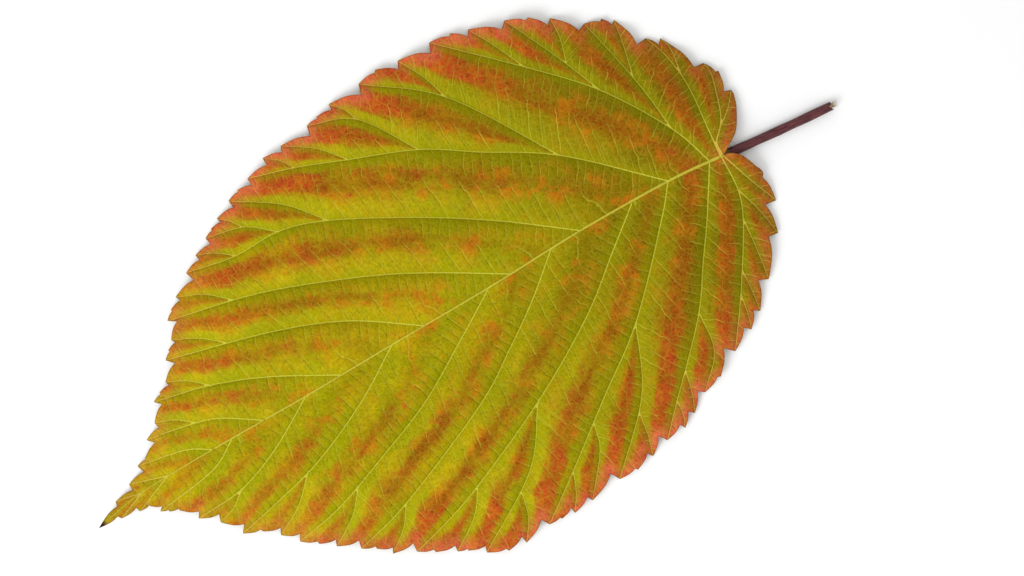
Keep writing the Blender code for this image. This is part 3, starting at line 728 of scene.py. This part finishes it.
def upper_material(look):
    """Upper side: green by the pale veins, gold between, bronze along the crests, red at the margin."""
    material, tree, shader, where = new_material("leaf upper side")
    m = BladeMap(tree, where, 0.10)
    grain = place(tree, shared("speckle"), Vector=where, Size=0.55)["Value"]

    gold = product(tree, patch(tree, where, 6.0, 0.40, 0.62), ramp(tree, m.along, 0.0, 0.9, 0.45, 0.9))
    colour = blend(tree, gold, look.green, look.gold)
    # Painted shade: olive darkening towards the base of the blade, mixed with soft random darker patches.
    shade = ramp(tree, m.along, -0.08, 0.55, 0.9, 0.05)
    shade = maths(tree, "ADD", shade, product(tree, patch(tree, where, 11.0, 0.45, 0.68), 0.2), clamp=True)
    colour = blend(tree, shade, colour, look.olive_shade)
    # Painted shade: olive on the distal side of each side vein, where the pleat's flank faces away from the
    # light.
    distal = product(tree, ramp(tree, m.share, 0.02, 0.5, 1.0, 0.0), ramp(tree, m.margin, 0.0, 4.0), 0.12)
    colour = blend(tree, distal, colour, look.olive_shade)
    # Painted shade: the vein-groove colour darkens the base of the blade beside the stalk.
    colour = blend(tree, ramp(tree, m.along, -0.06, 0.16, 0.4, 0.0), colour, look.shadow)

    off_rib = ramp(tree, m.across, 0.05, 0.5, 0.2, 1.0)
    turned = product(tree, ramp(tree, m.along, -0.05, 0.25, 0.28, 1.0),
                     ramp(tree, m.along, 0.5, 0.9, 1.0, 0.2))
    uneven = maths(tree, "MULTIPLY_ADD", patch(tree, where, 5.0, 0.36, 0.62), 0.6, 0.4)
    streaky = product(tree, off_rib, ramp(tree, m.along, 0.5, 0.9, 1.0, 0.35), uneven)
    colour = blend(tree, product(tree, m.halo, streaky, 0.55), colour, look.bronze)
    spots = product(tree, patch(tree, where, 3.2, 0.48, 0.66), maths(tree, "MULTIPLY_ADD", m.halo, 0.5, 0.2))
    colour = blend(tree, spots, colour, look.orange)
    outer = product(tree, ramp(tree, m.margin, 2.0, 22.0, 0.85, 0.0), turned)
    colour = blend(tree, product(tree, m.halo, outer, uneven), colour, look.russet)
    inner = ramp(tree, m.along, 0.1, 0.5, 0.15, 1.0)
    blush = product(tree, patch(tree, where, 3.8, 0.49, 0.68), off_rib, m.halo, inner, 0.8)
    colour = blend(tree, blush, colour, look.red)
    colour = blend(tree, product(tree, m.fold, streaky, 0.85), colour, look.bronze)

    reach = maths(tree, "MULTIPLY_ADD", m.halo, 7.5, 3.8)
    inward = maths(tree, "DIVIDE", m.margin, reach)
    ragged = patch(tree, where, 5.5, 0.30, 0.70)
    inward = maths(tree, "ADD", inward, maths(tree, "MULTIPLY_ADD", ragged, -0.8, 0.35))
    off_vein = maths(tree, "MAXIMUM", ramp(tree, m.vein_mm, 0.15, 1.4, 0.45, 1.0),
                     ramp(tree, m.margin, 0.3, 1.8, 1.0, 0.0))
    flush = product(tree, ramp(tree, inward, 0.15, 1.0, 1.0, 0.0), turned, off_vein, 0.95)
    warm = blend(tree, product(tree, patch(tree, where, 2.6, 0.46, 0.66), 0.5), look.red, look.orange)
    warm = blend(tree, product(tree, ramp(tree, inward, 0.1, 0.8), 0.45), warm, look.bronze)
    colour = blend(tree, flush, colour, warm)
    rosy = product(tree, ramp(tree, m.margin, 0.2, 2.6, 0.9, 0.0), turned,
                   patch(tree, where, 4.0, 0.30, 0.56))
    colour = blend(tree, rosy, colour, look.rosy)

    colour = blend(tree, 1.0, colour, ramp(tree, grain, 0.32, 0.70, 1.16, 0.76), "MULTIPLY")
    flecks = product(tree, maths(tree, "SUBTRACT", 1.0, m.pillow), ramp(tree, grain, 0.3, 0.6), 0.2)
    colour = blend(tree, flecks, colour, look.gold)
    colour = blend(tree, product(tree, m.coarse_net, 0.10), colour, look.vein)
    flank = product(tree, ramp(tree, m.vein_mm, 0.1, 1.8, 1.0, 0.0), ramp(tree, m.margin, 0.0, 3.0), 0.40)
    colour = blend(tree, flank, colour, look.green)
    shadow = product(tree, ramp(tree, m.vein_mm, 0.08, 0.42, 1.0, 0.0),
                     ramp(tree, m.share, 0.1, 0.3, 0.22, 0.05))
    shadow = maths(tree, "MAXIMUM", shadow, ramp(tree, m.rib_gap, 1.0, 2.6, 0.3, 0.0))
    shadow = maths(tree, "MAXIMUM", shadow, product(tree, m.groove, 0.14))
    colour = blend(tree, shadow, colour, look.shadow)
    vein_colour = blend(tree, ramp(tree, m.margin, 0.5, 6.0, 0.6, 0.0), look.vein, look.vein_warm)
    colour = blend(tree, product(tree, m.cross, 0.46), colour, vein_colour)
    along_vein = product(tree, m.vein, ramp(tree, m.margin, 0.1, 3.0, 0.85, 0.95))
    colour = blend(tree, along_vein, colour, vein_colour)
    colour = blend(tree, product(tree, m.rib, 0.8), colour, look.midrib)
    # Painted shade: a thin dark rim along the whole margin, in the withered tip's colour.
    rim = product(tree, ramp(tree, m.margin, 0.03, 0.2, 1.0, 0.0), 0.4)
    colour = blend(tree, rim, colour, look.dry_tip_and_edge_shade)
    dry = maths(tree, "MULTIPLY_ADD", grain, 0.012, m.along)
    colour = blend(tree, ramp(tree, dry, 0.990, 0.998), colour, look.dry_tip_and_edge_shade)
    tree.links.new(colour, shader.inputs["Base Color"])

    rough = maths(tree, "MULTIPLY_ADD", grain, 0.25, 0.5)
    tree.links.new(maths(tree, "SUBTRACT", rough, product(tree, m.rib, 0.1)), shader.inputs["Roughness"])
    shader.inputs["Specular IOR Level"].default_value = 0.04
    height = product(tree, m.pillow, 0.30)
    height = maths(tree, "MULTIPLY_ADD", m.coarse_pillow, 0.2, height)
    height = maths(tree, "MULTIPLY_ADD", m.groove, -0.6, height)
    height = maths(tree, "MULTIPLY_ADD", m.cross, 0.15, height)
    height = maths(tree, "MULTIPLY_ADD", m.vein, 0.2, height)
    height = maths(tree, "MULTIPLY_ADD", grain, 0.3, height)
    set_bump(tree, shader, height, 0.00014)
    return material


def lower_material(look):
    """Under side: paler and duller, with the whole net of veins standing out."""
    material, tree, shader, where = new_material("leaf under side")
    m = BladeMap(tree, where, 0.2)
    patches = shared("blotches")
    shade = place(tree, patches, Vector=where, Size=10.0, Low=0.35, High=0.65)["Mask"]
    colour = blend(tree, shade, look.under, look.under_warm)
    flush = place(tree, patches, Vector=where, Size=6.5, Low=0.44, High=0.62)["Mask"]
    band = ramp(tree, m.margin, 0.3, 9.0, 0.6, 0.12)
    colour = blend(tree, maths(tree, "MULTIPLY", flush, band), colour, look.under_red)
    net = maths(tree, "MAXIMUM", product(tree, m.net, 0.5), product(tree, m.coarse_net, 0.6))
    raised = maths(tree, "MAXIMUM", net, maths(tree, "MULTIPLY", m.cross, 0.85))
    raised = maths(tree, "MAXIMUM", raised, maths(tree, "MAXIMUM", m.vein, m.rib))
    colour = blend(tree, maths(tree, "MULTIPLY", raised, 0.75), colour, look.under_vein)
    down = place(tree, shared("speckle"), Vector=where, Size=0.3)["Value"]
    colour = blend(tree, ramp(tree, down, 0.35, 0.75, 0.0, 0.3), colour, look.under_down)
    colour = blend(tree, ramp(tree, m.along, 0.990, 0.998), colour, look.dry_tip_and_edge_shade)
    tree.links.new(colour, shader.inputs["Base Color"])
    tree.links.new(maths(tree, "MULTIPLY_ADD", down, 0.2, 0.62), shader.inputs["Roughness"])
    shader.inputs["Specular IOR Level"].default_value = 0.2
    height = maths(tree, "MULTIPLY_ADD", raised, 1.2, maths(tree, "MULTIPLY", down, 0.4))
    height = maths(tree, "MULTIPLY_ADD", m.pillow, -0.4, height)
    set_bump(tree, shader, height, 0.00012)
    return material


def stalk_material(look):
    """Maroon skin with fine streaks along the stalk, with a painted highlight, paler and duller, on its upper
    flank.
    """
    material, tree, shader, where = new_material("leaf stalk skin")
    along, turn, height = stored(tree, "skin")
    stretched = add(tree, "CombineXYZ", X=product(tree, along, 0.25), Y=product(tree, turn, 7.0))
    noise = add(tree, "TexNoise", Vector=stretched.outputs[0], Scale=2.2, Detail=4.0, Roughness=0.6)
    streak = noise.outputs[0]
    colour = blend(tree, ramp(tree, streak, 0.35, 0.68), look.skin_dark, look.skin)
    # Painted highlight: the upper flank is made paler where the light would fall, broken up by the streaks.
    flank = maths(tree, "MULTIPLY", ramp(tree, height, 0.1, 0.85), ramp(tree, streak, 0.3, 0.6))
    colour = blend(tree, maths(tree, "MULTIPLY", flank, 0.3), colour, look.skin_highlight)
    patch = place(tree, shared("blotches"), Vector=where, Size=2.5, Low=0.5, High=0.7)["Mask"]
    colour = blend(tree, maths(tree, "MULTIPLY", patch, 0.35), colour, look.skin_dark)
    by_blade = ramp(tree, along, -1.6, 0.6)
    colour = blend(tree, by_blade, colour, look.midrib)
    torn = ramp(tree, along, -17.3, -17.85)
    colour = blend(tree, maths(tree, "MULTIPLY", torn, 0.6), colour, look.torn_rim)
    tree.links.new(colour, shader.inputs["Base Color"])
    tree.links.new(maths(tree, "MULTIPLY_ADD", streak, 0.25, 0.3), shader.inputs["Roughness"])
    shader.inputs["Specular IOR Level"].default_value = 0.22
    grain = place(tree, shared("speckle"), Vector=where, Size=0.25)["Value"]
    set_bump(tree, shader, maths(tree, "MULTIPLY_ADD", streak, 1.2, grain), 0.00005)
    return material


def core_material(look):
    """Dry, pale fibres of the torn core."""
    material, tree, shader, where = new_material("torn core fibre")
    stretched = add(tree, "VectorMath", {"operation": "MULTIPLY"}, Vector=where)
    stretched.inputs[1].default_value = (0.6, 6.0, 6.0)
    strand = add(tree, "TexNoise", Vector=stretched.outputs[0], Scale=1.6, Detail=4.0).outputs[0]
    colour = blend(tree, ramp(tree, strand, 0.35, 0.65), look.core_dark, look.core)
    tree.links.new(colour, shader.inputs["Base Color"])
    tree.links.new(maths(tree, "MULTIPLY_ADD", strand, 0.2, 0.7), shader.inputs["Roughness"])
    set_bump(tree, shader, strand, 0.00004)
    return material


def floor_material(look):
    """Plain pale ground with a faint unevenness."""
    material, tree, shader, where = new_material("plain pale floor")
    grain = place(tree, shared("speckle"), Vector=where, Size=40.0)["Value"]
    tree.links.new(blend(tree, ramp(tree, grain, 0.4, 0.6, 0.0, 0.04), look.floor, (0.8, 0.8, 0.8)),
                   shader.inputs["Base Color"])
    shader.inputs["Roughness"].default_value = 0.9
    return material


def millimetres(name, default, text):
    """A setting for a length."""
    return FloatProperty(name=name, default=default, min=0.0, soft_max=10.0,
                         description=text + ", in millimetres")


def colour(name, values, text):
    """A setting for a colour, given by its 8-bit screen values."""
    return FloatVectorProperty(name=name, default=srgb(*values), size=3, subtype="COLOR", min=0.0, max=1.0,
                               description=text)


class LeafBladeSettings(bpy.types.PropertyGroup):
    """Relief and colours of the blade."""

    arch: millimetres("Arch", 2.4, "Rise of each half between the midrib and the margin")
    pleat: millimetres("Pleat", 1.5, "Rise of the crest between two side veins")
    lamina: millimetres("Thickness", 0.26, "Thickness of the blade between its veins")
    vein_dip: millimetres("Vein dip", 0.26, "How deep the veins lie in the upper side")
    quilt: millimetres("Quilting", 0.055, "Relief between the cross veins")
    green: colour("Green", (152, 152, 0), "Main colour of the upper side")
    gold: colour("Gold", (188, 162, 6), "Colour of the yellowed patches")
    # Olive: painted shade towards the base of the blade and on the distal side of each side vein.
    olive_shade: colour("Olive", (102, 86, 0), "Colour of the darker tissue toward the base")
    orange: colour("Orange", (196, 102, 16), "Colour of the turning patches")
    red: colour("Red", (170, 54, 24), "Colour of the red flush at the margin")
    bronze: colour("Bronze", (128, 62, 4), "Colour along the crests of the pleats")
    russet: colour("Russet", (172, 84, 14), "Colour along the crests near the margin")
    rosy: colour("Rose", (202, 86, 66), "Colour of the teeth at the margin")
    vein: colour("Vein", (192, 188, 58), "Colour of the side veins")
    vein_warm: colour("Vein, warm", (216, 158, 78), "Colour of the veins in the red margin")
    # Painted shade: this colour darkens the grooves beside the side veins, the midrib and the cross veins,
    # and the base of the blade.
    shadow: colour("Vein groove", (90, 78, 0), "Colour of the grooves beside the veins")
    midrib: colour("Midrib", (192, 184, 60), "Colour of the midrib")
    # Withered point, and the painted shade of the dark rim along the margin.
    dry_tip_and_edge_shade: colour("Dry tip", (58, 34, 22), "Colour of the withered point")
    under: colour("Under side", (158, 156, 92), "Main colour of the under side")
    under_warm: colour("Under side, warm", (176, 158, 92), "Yellowed patches of the under side")
    under_red: colour("Under side, red", (168, 104, 72), "Flush of the under side")
    under_vein: colour("Under side, vein", (204, 196, 138), "Colour of the raised veins")
    under_down: colour("Under side, down", (196, 194, 150), "Colour of the fine down")


class LeafStalkSettings(bpy.types.PropertyGroup):
    """Size and colours of the stalk."""

    radius: millimetres("Radius", 0.70, "Radius of the stalk")
    core_radius: millimetres("Core radius", 0.42, "Radius of the torn core")
    fibres: IntProperty(name="Fibres", default=22, min=0, max=60, description="Loose fibres of the torn core")
    skin: colour("Skin", (88, 30, 34), "Main colour of the stalk")
    skin_dark: colour("Skin, dark", (50, 14, 18), "Dark streaks of the stalk")
    # Painted highlight: the paler colour on the stalk's upper flank.
    skin_highlight: colour("Skin, pale", (136, 84, 86), "Bloom on the upper flank of the stalk")
    # Painted shade colour like the blade's; the stalk's materials do not use it.
    shadow: colour("Vein groove", (84, 72, 0), "Colour of the grooves beside the veins")
    midrib: colour("Midrib", (188, 168, 60), "Colour where the stalk runs into the midrib")
    torn_rim: colour("Torn rim", (60, 30, 22), "Colour of the skin at the tear")
    core: colour("Core", (206, 192, 158), "Colour of the core fibres")
    core_dark: colour("Core, dark", (140, 118, 88), "Shaded colour of the core fibres")


class LeafStageSettings(bpy.types.PropertyGroup):
    """Floor, light and camera."""

    floor: colour("Floor", (244, 244, 244), "Colour of the floor")
    dome: FloatProperty(name="Dome light", default=0.86, min=0.0, description="Strength of the even light")
    key: FloatProperty(name="Key light", default=1.4, min=0.0, unit="POWER",
                       description="Power of the soft key light")
    lens: FloatProperty(name="Lens", default=100.0, min=10.0, description="Focal length, in millimetres")


def deselect_all():
    """Object mode, with nothing selected."""
    if bpy.context.mode != "OBJECT":
        bpy.ops.object.mode_set(mode="OBJECT")
    bpy.ops.object.select_all(action="DESELECT")


def activate(piece):
    """Select this piece alone and make it the active one."""
    deselect_all()
    piece.select_set(True)
    bpy.context.view_layer.objects.active = piece


def vertex_places(mesh):
    """The places of a mesh's vertices, one a row."""
    places = np.empty(len(mesh.vertices) * 3)
    mesh.vertices.foreach_get("co", places)
    return places.reshape(-1, 3)


def put_vertices(mesh, places):
    """Move a mesh's vertices to these places."""
    mesh.vertices.foreach_set("co", np.asarray(places, float).ravel())
    mesh.update()


def to_row(places):
    """From the blade's own frame in millimetres to the model's frame in metres."""
    return np.asarray(places) * MM + BLADE_BASE


def store(mesh, name, domain, values):
    """Three numbers for each point or corner, for the material to read."""
    data = mesh.attributes.new(name, "FLOAT_VECTOR", domain).data
    data.foreach_set("vector", np.asarray(values, float).ravel())


def sheet_mesh(survey):
    """The net as a flat mesh that carries its maps."""
    mesh = bpy.data.meshes.new("leaf_blade")
    flat = np.column_stack([survey.points, np.zeros(len(survey.points))])
    mesh.from_pydata(flat.tolist(), [], survey.faces.tolist())
    # Half width of the midrib: it narrows from the base on, and once more towards the tip.
    rib_half = 0.12 + 0.11 * np.exp(-np.clip(survey.points[:, 0], 0, None) / 22)
    rib_half -= 0.07 * smoothstep(survey.points[:, 0], 80, TIP[0])
    vein, rib = np.minimum(survey.vein, 99), survey.midrib / rib_half
    store(mesh, "gaps", "POINT", np.column_stack([vein, rib, survey.margin]))
    across = survey.midrib / np.maximum(survey.midrib + survey.margin, 1e-9)
    vein_mm = np.minimum(survey.vein_mm, 9)
    store(mesh, "form", "POINT", np.column_stack([vein_mm, survey.points[:, 0] / TIP[0], across]))
    store(mesh, "panel", "CORNER",
          np.column_stack([v.ravel() for v in (survey.share, survey.long_phase, survey.short_phase)]))
    mesh.attributes.new("net_index", "INT", "POINT").data.foreach_set("value", np.arange(len(survey.points)))
    return mesh


class LEAF_OT_blade(bpy.types.Operator):
    """Make the blade, with its pleats, veins and teeth."""

    bl_idname = "leaf.blade"
    bl_label = "Blade"

    def execute(self, context):
        size = context.scene.leaf_blade
        outline = blade_outline()
        survey = Survey(*blade_net(outline), outline)
        mesh = sheet_mesh(survey)
        piece = bpy.data.objects.new("leaf_blade", mesh)
        context.collection.objects.link(piece)
        mesh.materials.append(upper_material(size))
        mesh.materials.append(lower_material(size))

        activate(piece)
        bpy.ops.object.mode_set(mode="EDIT")
        bpy.ops.mesh.select_all(action="SELECT")
        bpy.ops.mesh.extrude_region_move(TRANSFORM_OT_translate={"value": (0, 0, 1)})
        bpy.ops.mesh.select_all(action="SELECT")
        bpy.ops.mesh.normals_make_consistent(inside=False)
        bpy.ops.object.mode_set(mode="OBJECT")

        places = vertex_places(mesh)
        index = np.empty(len(places), np.int32)
        mesh.attributes["net_index"].data.foreach_get("value", index)
        top = upper_face(survey, size)
        bottom = np.minimum(lower_face(survey, top, size), top - 0.1)
        on_top = places[:, 2] > 0.5
        places[:, 2] = np.where(on_top, top[index], bottom[index])
        put_vertices(mesh, to_row(places))
        mesh.attributes.remove(mesh.attributes["net_index"])
        below = [not any(on_top[v] for v in face.vertices) for face in mesh.polygons]
        mesh.polygons.foreach_set("material_index", np.array(below, np.int32))
        bpy.ops.object.shade_smooth_by_angle(angle=np.radians(60))

        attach(piece, "root")
        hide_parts("leaf")
        return {"FINISHED"}


STALK_LINE = ((3.5, -0.45, 0.86), (0, 0, 0.81), (-6.0, 0.75, 0.77), (-12.0, 1.4, 0.75), (-17.9, 1.95, 0.77))
STALK_SIDES, STALK_CUTS = 96, 90


def stalk_centre(share):
    """Centre and direction of the stalk at each share of its length."""
    line = smooth_line(STALK_LINE, 0.2)
    along = np.linspace(0, 1, len(line))
    centre = np.stack([np.interp(share, along, line[:, i]) for i in range(3)], axis=1)
    way = np.stack([np.interp(share, along, np.gradient(line[:, i])) for i in range(3)], axis=1)
    return centre, way / np.linalg.norm(way, axis=1)[:, None]


class LEAF_OT_stalk(bpy.types.Operator):
    """Make the stalk, grooved on its upper side, swollen at the blade and torn at its free end."""

    bl_idname = "leaf.stalk"
    bl_label = "Stalk"

    def execute(self, context):
        look = context.scene.leaf_stalk
        deselect_all()
        bpy.ops.mesh.primitive_cylinder_add(vertices=STALK_SIDES, radius=1, depth=1, end_fill_type="NGON")
        piece = context.object
        piece.name = piece.data.name = "leaf_stalk"
        mesh = piece.data
        bpy.ops.object.mode_set(mode="EDIT")
        bpy.ops.mesh.select_mode(type="EDGE")
        bpy.ops.mesh.select_all(action="DESELECT")
        bpy.ops.object.mode_set(mode="OBJECT")
        for edge in mesh.edges:
            a, b = (mesh.vertices[v].co for v in edge.vertices)
            edge.select = abs(a.z - b.z) > 0.5
        bpy.ops.object.mode_set(mode="EDIT")
        bpy.ops.mesh.subdivide(number_cuts=STALK_CUTS)
        bpy.ops.object.mode_set(mode="OBJECT")

        places = vertex_places(mesh)
        share = places[:, 2] + 0.5
        turn = np.arctan2(places[:, 1], places[:, 0])
        centre, way = stalk_centre(share)
        swell = 1 + 0.12 * np.exp(-(((share - 0.17) / 0.06) ** 2)) + 0.03 * np.sin(share * 23 + 1)
        swell *= np.where(share < 0.12, 0.55 + 0.45 * share / 0.12, 1)
        groove = 1 - 0.17 * np.exp(-((np.angle(np.exp(1j * (turn - np.pi / 2))) / 0.42) ** 2))
        rough = 1 + 0.012 * np.sin(5 * turn + share * 9) + 0.010 * np.sin(11 * turn - share * 31)
        radius = look.radius * swell * groove * rough
        torn = 0.22 * np.sin(3 * turn + 0.6) + 0.13 * np.sin(7 * turn) + 0.08 * np.sin(13 * turn + 2)
        centre += way * (torn * smoothstep(share, 0.97, 1.0))[:, None]
        sideways = np.cross(way, (0, 0, 1.0))
        sideways /= np.linalg.norm(sideways, axis=1)[:, None]
        upward = np.cross(sideways, way)
        skin = centre + radius[:, None] * (np.cos(turn)[:, None] * sideways + np.sin(turn)[:, None] * upward)
        store(mesh, "skin", "POINT", np.column_stack([centre[:, 0], np.abs(turn) / np.pi, np.sin(turn)]))
        put_vertices(mesh, to_row(skin))
        activate(piece)
        bpy.ops.object.mode_set(mode="EDIT")
        bpy.ops.mesh.select_all(action="SELECT")
        bpy.ops.mesh.normals_make_consistent(inside=False)
        bpy.ops.object.mode_set(mode="OBJECT")
        bpy.ops.object.shade_smooth_by_angle(angle=np.radians(50))
        mesh.materials.append(stalk_material(look))
        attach(piece, "root")
        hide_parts("leaf")
        return {"FINISHED"}


class LEAF_OT_torn_core(bpy.types.Operator):
    """Make the torn core of the stalk, a bundle of short pale fibres."""

    bl_idname = "leaf.torn_core"
    bl_label = "Torn core"

    def execute(self, context):
        look = context.scene.leaf_stalk
        rng = np.random.default_rng(5)
        centre, way = stalk_centre(np.array([0.995]))
        turned = Vector(way[0]).to_track_quat("Z", "Y").to_matrix()
        deselect_all()
        bundle = []
        for number in range(look.fibres + 1):
            core = number == 0
            length = 1.3 if core else rng.uniform(1.0, 2.0)
            radius = look.core_radius * (0.8 if core else rng.uniform(0.16, 0.30))
            off = np.zeros(2) if core else rng.uniform(0.35, 0.85) * look.core_radius * np.array(
                (np.cos(2.4 * number), np.sin(2.4 * number)))
            bpy.ops.mesh.primitive_cone_add(
                vertices=20 if core else 7, radius1=radius, radius2=radius * 0.35, depth=length
            )
            strand = context.object
            bpy.ops.object.mode_set(mode="EDIT")
            bpy.ops.mesh.subdivide(number_cuts=3)
            bpy.ops.object.mode_set(mode="OBJECT")
            places = vertex_places(strand.data)
            places[:, 2] += length / 2 - 0.7
            up = np.clip(places[:, 2:], 0, None)
            places[:, :2] += off + up**2 * off * rng.uniform(0.1, 0.7) + up * rng.uniform(-0.1, 0.1, 2)
            places[:, :2] *= 1 + 0.08 * np.sin(places[:, 2:] * 9 + number)
            put_vertices(strand.data, to_row(places @ np.array(turned).T + centre[0]))
            bundle.append(strand)
        deselect_all()
        for strand in bundle:
            strand.location = (0, 0, 0)
            strand.select_set(True)
        context.view_layer.objects.active = bundle[0]
        bpy.ops.object.join()
        piece = context.object
        piece.name = piece.data.name = "leaf_torn_core"
        bpy.ops.object.shade_smooth_by_angle(angle=np.radians(40))
        piece.data.materials.append(core_material(look))
        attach(piece, "root")
        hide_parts("leaf")
        return {"FINISHED"}


# Camera: above the leaf, turned so that the stalk points up to the right
VIEW_CENTRE = (37.7, 0.85)
VIEW_WIDTH = 155.7
VIEW_TURN = 149.14
SENSOR_WIDTH = 36

# Stage, in metres: the key light's place is given in the turned view, from the middle of the leaf
FLOOR_SIZE, FLOOR_GAP = 4, 0.00002
KEY_PLACE, KEY_SIZE = (-0.26, -0.28, 0.30), 0.25


class LEAF_OT_stage(bpy.types.Operator):
    """Make the floor, the soft light and the camera."""

    bl_idname = "leaf.stage"
    bl_label = "Stage"

    def execute(self, context):
        look = context.scene.leaf_stage
        scene = context.scene
        deselect_all()
        bpy.ops.mesh.primitive_plane_add(size=FLOOR_SIZE, location=(0, 0, LEAF_LOW[2] - FLOOR_GAP))
        floor = context.object
        floor.name = "floor"
        floor.data.materials.append(floor_material(look))

        world = bpy.data.worlds.new("soft dome")
        world.use_nodes = True
        background = world.node_tree.nodes["Background"]
        background.inputs["Color"].default_value = (1, 1, 1, 1)
        background.inputs["Strength"].default_value = look.dome
        scene.world = world

        middle = Vector(to_row((*VIEW_CENTRE, 0)))
        turn = Matrix.Rotation(np.radians(VIEW_TURN), 3, "Z")
        bpy.ops.object.light_add(type="AREA", location=middle + turn @ Vector(KEY_PLACE))
        key = context.object
        key.name = "key light"
        key.data.energy = look.key
        key.data.size = KEY_SIZE
        key.rotation_euler = (middle - key.location).to_track_quat("-Z", "Y").to_euler()

        above = middle + Vector((0, 0, VIEW_WIDTH * MM / SENSOR_WIDTH * look.lens))
        bpy.ops.object.camera_add(location=above, rotation=(0, 0, np.radians(VIEW_TURN)))
        camera = context.object
        camera.name = "camera"
        camera.data.lens = look.lens
        camera.data.sensor_width = SENSOR_WIDTH
        camera.data.clip_start = 0.01
        scene.camera = camera
        scene.view_settings.view_transform = "Standard"
        return {"FINISHED"}


class LEAF_PT_panel(bpy.types.Panel):
    """The leaf's pieces and their settings."""

    bl_idname = "LEAF_PT_panel"
    bl_label = "Autumn leaf"
    bl_space_type = "VIEW_3D"
    bl_region_type = "UI"
    bl_category = "Leaf"

    def draw(self, context):
        for operators, settings in (
            (("leaf.blade",), context.scene.leaf_blade),
            (("leaf.stalk", "leaf.torn_core"), context.scene.leaf_stalk),
            (("leaf.stage",), context.scene.leaf_stage),
        ):
            box = self.layout.box()
            for name in operators:
                box.operator(name)
            for key in settings.bl_rna.properties.keys():
                if key not in ("rna_type", "name"):
                    box.prop(settings, key)


SETTINGS = {
    "leaf_blade": LeafBladeSettings,
    "leaf_stalk": LeafStalkSettings,
    "leaf_stage": LeafStageSettings,
}
CLASSES = (*SETTINGS.values(), LEAF_OT_blade, LEAF_OT_stalk, LEAF_OT_torn_core, LEAF_OT_stage, LEAF_PT_panel)


def register():
    for item in CLASSES:
        bpy.utils.register_class(item)
    for name, kind in SETTINGS.items():
        setattr(bpy.types.Scene, name, PointerProperty(type=kind))


def unregister():
    for name in SETTINGS:
        delattr(bpy.types.Scene, name)
    for item in reversed(CLASSES):
        bpy.utils.unregister_class(item)


def main():
    register()
    bpy.ops.leaf.blade()
    bpy.ops.leaf.stalk()
    bpy.ops.leaf.torn_core()
    bpy.ops.leaf.stage()


if __name__ == "__main__":
    main()
